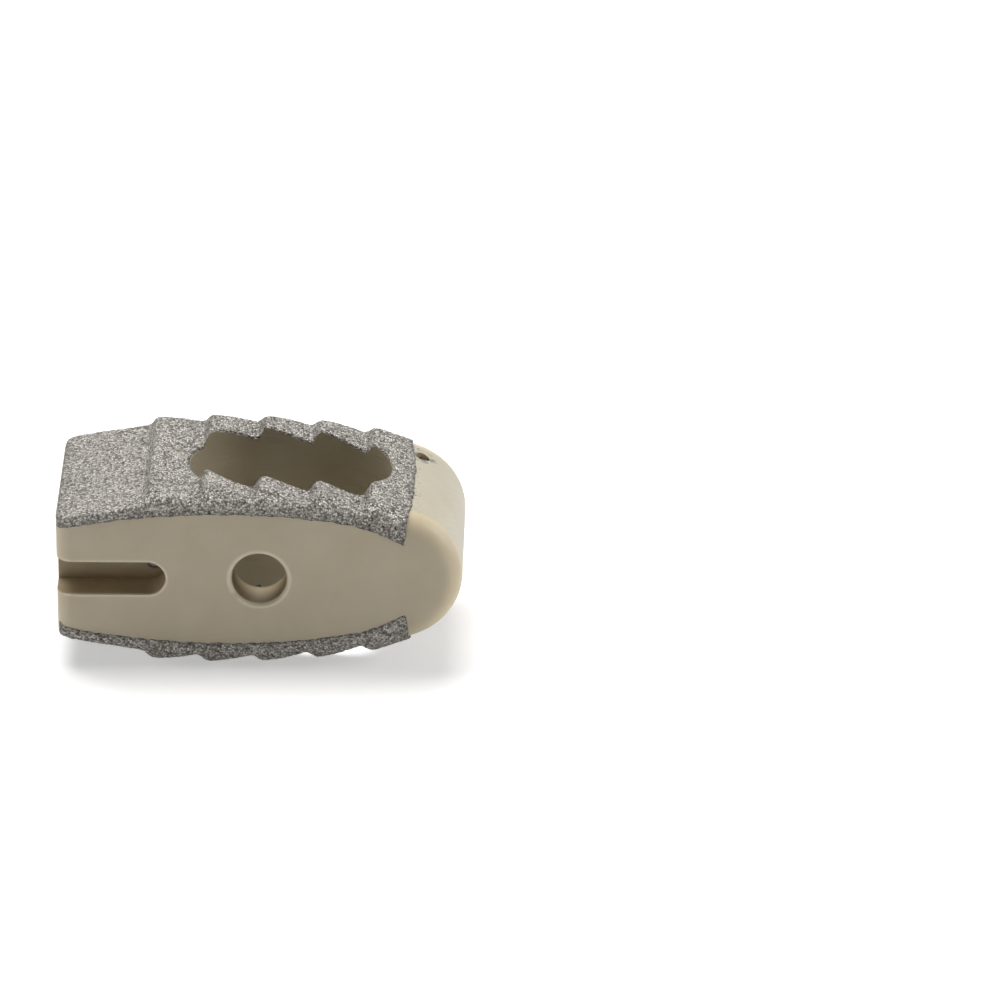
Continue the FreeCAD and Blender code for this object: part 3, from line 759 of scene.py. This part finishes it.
def make_thread():
    """Ridge of the inserter's thread: a trapezium carried along a right-hand helix, one
    pitch forward each turn, and flattened into the wall at both ends."""
    turns = (RIDGE_END - RIDGE_START) / THREAD_PITCH
    angle = np.linspace(0, turns * 2 * math.pi, round(turns * THREAD_STEPS))[:, None]
    rise = np.clip(np.minimum(angle, angle[-1] - angle) / (math.pi / 2), RIDGE_FLATTEST, 1)
    profile_x = np.array([-RIDGE_ROOT, -RIDGE_CREST, RIDGE_CREST, RIDGE_ROOT])
    profile_rise = np.array([0, 1, 1, 0]) * (RIDGE_SINK + RIDGE_HEIGHT)
    x = RIDGE_START + angle / (2 * math.pi) * THREAD_PITCH + profile_x
    radius = THREAD_RADIUS + RIDGE_SINK - profile_rise * rise
    ridge = np.stack([x, radius * np.cos(angle), radius * np.sin(angle)], axis=-1)
    here = np.arange(x.size).reshape(x.shape)
    after = np.roll(here, -1, axis=1)
    walls = np.stack([here[:-1], after[:-1], after[1:], here[1:]], axis=-1).reshape(-1, 4)
    return mesh_piece("inserter_thread", ridge, np.concatenate([walls, here[:1, ::-1], here[-1:]]))


# The finishes.


def cut_regions(along, aside, up):
    """Masks of the places that each tool has cut, and of the bands along the edges of the bore and
    the slots that get a painted highlight.
    """
    past_bore = past_circle(along, up, BORE_PLACE, BORE_RADIUS + BORE_BREAK)
    past_bend = calculate("MAXIMUM", along, SLOT_BEND * MM)
    past_slot = past_circle(past_bend, up, SLOT_BEND, SLOT_RADIUS)
    near_edge = calculate("MINIMUM", calculate("ABSOLUTE", past_bore),
                          calculate("ABSOLUTE", past_slot))
    on_nose = fade_in(along, NOSE_BEHIND)
    return {
        "window": all_of(fade_in(aside, WINDOW_ASIDE), fade_in(along, WINDOW_BEHIND),
                         fade_in(along, WINDOW_AHEAD)),
        "bore": all_of(fade_in(past_bore, BORE_WALL), fade_in(aside, BORE_ASIDE)),
        "slot": all_of(fade_in(past_slot, SLOT_WALL), fade_in(aside, SLOT_ASIDE),
                       fade_in(aside, SLOT_BOTTOM)),
        "nose_flat": all_of(on_nose, fade_in(aside, NOSE_FLAT_ASIDE)),
        "nose_edge": all_of(on_nose, fade_in(aside, NOSE_FLAT_ASIDE[::-1]),
                            fade_in(aside, NOSE_EDGE_ASIDE)),
        "edge_highlight": all_of(fade_in(near_edge, EDGE_HIGHLIGHT_BAND), fade_in(aside, EDGE_HIGHLIGHT_ASIDE)),
    }


def stray_spray(where, along, across, up):
    """Mask of the dust on the nose's upper side: a cloud of specks round the marker pin, and
    finer ones just ahead of the mask."""
    from_pin = distance(calculate("SUBTRACT", along, CLOUD_PLACE * MM),
                        calculate("SUBTRACT", across, NOSE_PIN_OFFSET * MM))
    cloud = all_of(fade_in(from_pin, CLOUD_FADE), specks(where, *CLOUD_SPECKS))
    at_mask = all_of(fade_in(along, MASK_FADE), specks(where, *MASK_SPECKS))
    return all_of(calculate("MAXIMUM", cloud, at_mask), fade_in(up, SPRAY_ABOVE))


def milling_marks(where, regions):
    """Normals of the cut plastic: fine grain, slanting lines on the nose, and level lines
    round the window's wall."""
    tree = where.id_data
    turned = add_node(tree, "ShaderNodeMapping", Vector=where,
                      Rotation=(0.0, 0.0, math.radians(NOSE_LINE_SLANT)))
    nose_lines = add_node(tree, "ShaderNodeTexWave", {"bands_direction": "X"},
                          Vector=turned.outputs["Vector"], Scale=1150.0, Distortion=2.5,
                          Detail=3.0)
    wall_lines = add_node(tree, "ShaderNodeTexWave", {"bands_direction": "Z"}, Vector=where,
                          Scale=980.0, Distortion=0.9, Detail=3.0)
    lines = calculate("ADD",
                      all_of(nose_lines.outputs["Fac"], regions["nose_flat"], NOSE_LINE_HEIGHT),
                      all_of(wall_lines.outputs["Fac"], regions["window"]))
    grain = add_node(tree, "ShaderNodeBump", Strength=0.12, Distance=0.02 * MM,
                     Height=noise(where, 9000.0, 2.0))
    marks = add_node(tree, "ShaderNodeBump", Strength=0.5, Distance=0.014 * MM, Height=lines,
                     Normal=grain.outputs["Normal"])
    return marks.outputs["Normal"]


def machined_plastic():
    """Beige, faintly see-through plastic: painted shade inside the milled window, the bore and
    the slots, a darker, greyer tone on the milled nose's flat top, a painted highlight on its
    rounded edges and in pale specks along the edges of the bore and the slots, and dusted
    with stray spray on the nose."""
    material, shader = new_finish("machined_plastic", Roughness=0.42, IOR=1.5,
                                  Subsurface_Weight=0.3, Subsurface_Radius=(1.0, 0.7, 0.34),
                                  Subsurface_Scale=0.6 * MM)
    where = own_places(material)
    axes = add_node(material.node_tree, "ShaderNodeSeparateXYZ", Vector=where).outputs
    along, across, up = axes["X"], axes["Y"], axes["Z"]
    regions = cut_regions(along, calculate("ABSOLUTE", across), up)

    colour = colour_ramp(noise(where, 450.0, 3.0), PLASTIC_TONES)
    # Painted shade in the window, the bore and the slots, and a painted highlight on the nose's
    # rounded edges.
    for region, factor in SHADE_HIGHLIGHT_AND_TONE_TINTS.items():
        colour = mix("MULTIPLY", colour, regions[region], (*factor, 1))
    # Painted highlight: pale specks along the edges of the bore and the slots.
    highlighted_edge = all_of(regions["edge_highlight"], specks(where, *EDGE_HIGHLIGHT_SPECKS))
    colour = mix("MIX", colour, highlighted_edge, (*EDGE_HIGHLIGHT_COLOUR, 1))
    dusted = all_of(stray_spray(where, along, across, up), regions["nose_flat"])
    colour = mix("MIX", colour, dusted, (*STRAY_SPRAY_COLOUR, 1))
    fill(shader, {"Base Color": colour, "Normal": milling_marks(where, regions)})
    return material


def grid_value(material, attribute):
    """A value that the piece's mesh carries at its vertices."""
    return add_node(material.node_tree, "ShaderNodeAttribute",
                    {"attribute_name": attribute}).outputs["Fac"]


def sprayed_titanium():
    """Plasma-sprayed grains: grey metal in fine chips, each with a tone and a gloss of its
    own, with painted shade in the crevices between the chips, in the pits between the
    grains and towards the mask's edge."""
    material, shader = new_finish("sprayed_titanium", Metallic=0.75)
    tree = material.node_tree
    grains = add_node(tree, "ShaderNodeTexVoronoi", {"feature": "F1"},
                      Vector=own_places(material), Scale=9000.0).outputs
    chips = add_node(tree, "ShaderNodeSeparateColor", Color=grains["Color"]).outputs
    # Painted shade: darker between the chips, in the pits between the grains and near the mask's
    # edge.
    crevice_shade = fade(grains["Distance"], 0.35, 0.8, low=1.0, high=0.3)
    pit_shade = fade(grid_value(material, "grain_height"), 0.28, 0.6, low=0.22)
    edge_shade = fade(grid_value(material, "edge_shade_nearness"), 0.0, 1.0, low=1.0, high=0.5)
    colour = mix("MULTIPLY", colour_ramp(chips["Red"], TITANIUM_TONES), 1.0,
                 all_of(crevice_shade, pit_shade, edge_shade))
    bump = add_node(tree, "ShaderNodeBump", {"invert": True}, Strength=1.0,
                    Distance=0.07 * MM, Height=grains["Distance"])
    fill(shader, {
        "Base Color": colour,
        "Roughness": fade(chips["Green"], 0.0, 1.0, low=0.62, high=0.36),
        "Normal": bump.outputs["Normal"],
    })
    return material


def dull_tantalum():
    """Marker metal: dark grey, faintly clouded."""
    material, shader = new_finish("dull_tantalum", Metallic=0.9, Roughness=0.45)
    clouds = noise(own_places(material), 5200.0, 4.0)
    put(colour_ramp(clouds, TANTALUM_TONES), shader.inputs["Base Color"])
    return material


def dress(piece, material):
    """Give a piece one finish all over."""
    piece.data.materials.clear()
    piece.data.materials.append(material)


# The scene.

add_camera()
add_floor()
light_the_room()
bpy.context.scene.view_settings.view_transform = "Standard"

plastic = machined_plastic()
titanium = sprayed_titanium()
tantalum = dull_tantalum()
dress(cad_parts["cage_body"], plastic)
for pin in ("rear_marker_pin", "nose_marker_pin"):
    dress(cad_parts[pin], tantalum)

for coating, side, seed in (("upper_coating", 1, UPPER_SEED), ("lower_coating", -1, LOWER_SEED)):
    dress(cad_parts[coating], titanium)
    skin = make_skin(coating.replace("coating", "sprayed_skin"), side, seed)
    dress(skin, titanium)
    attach(skin, "root")
    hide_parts(coating)

thread = make_thread()
dress(thread, plastic)
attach(thread, "root")
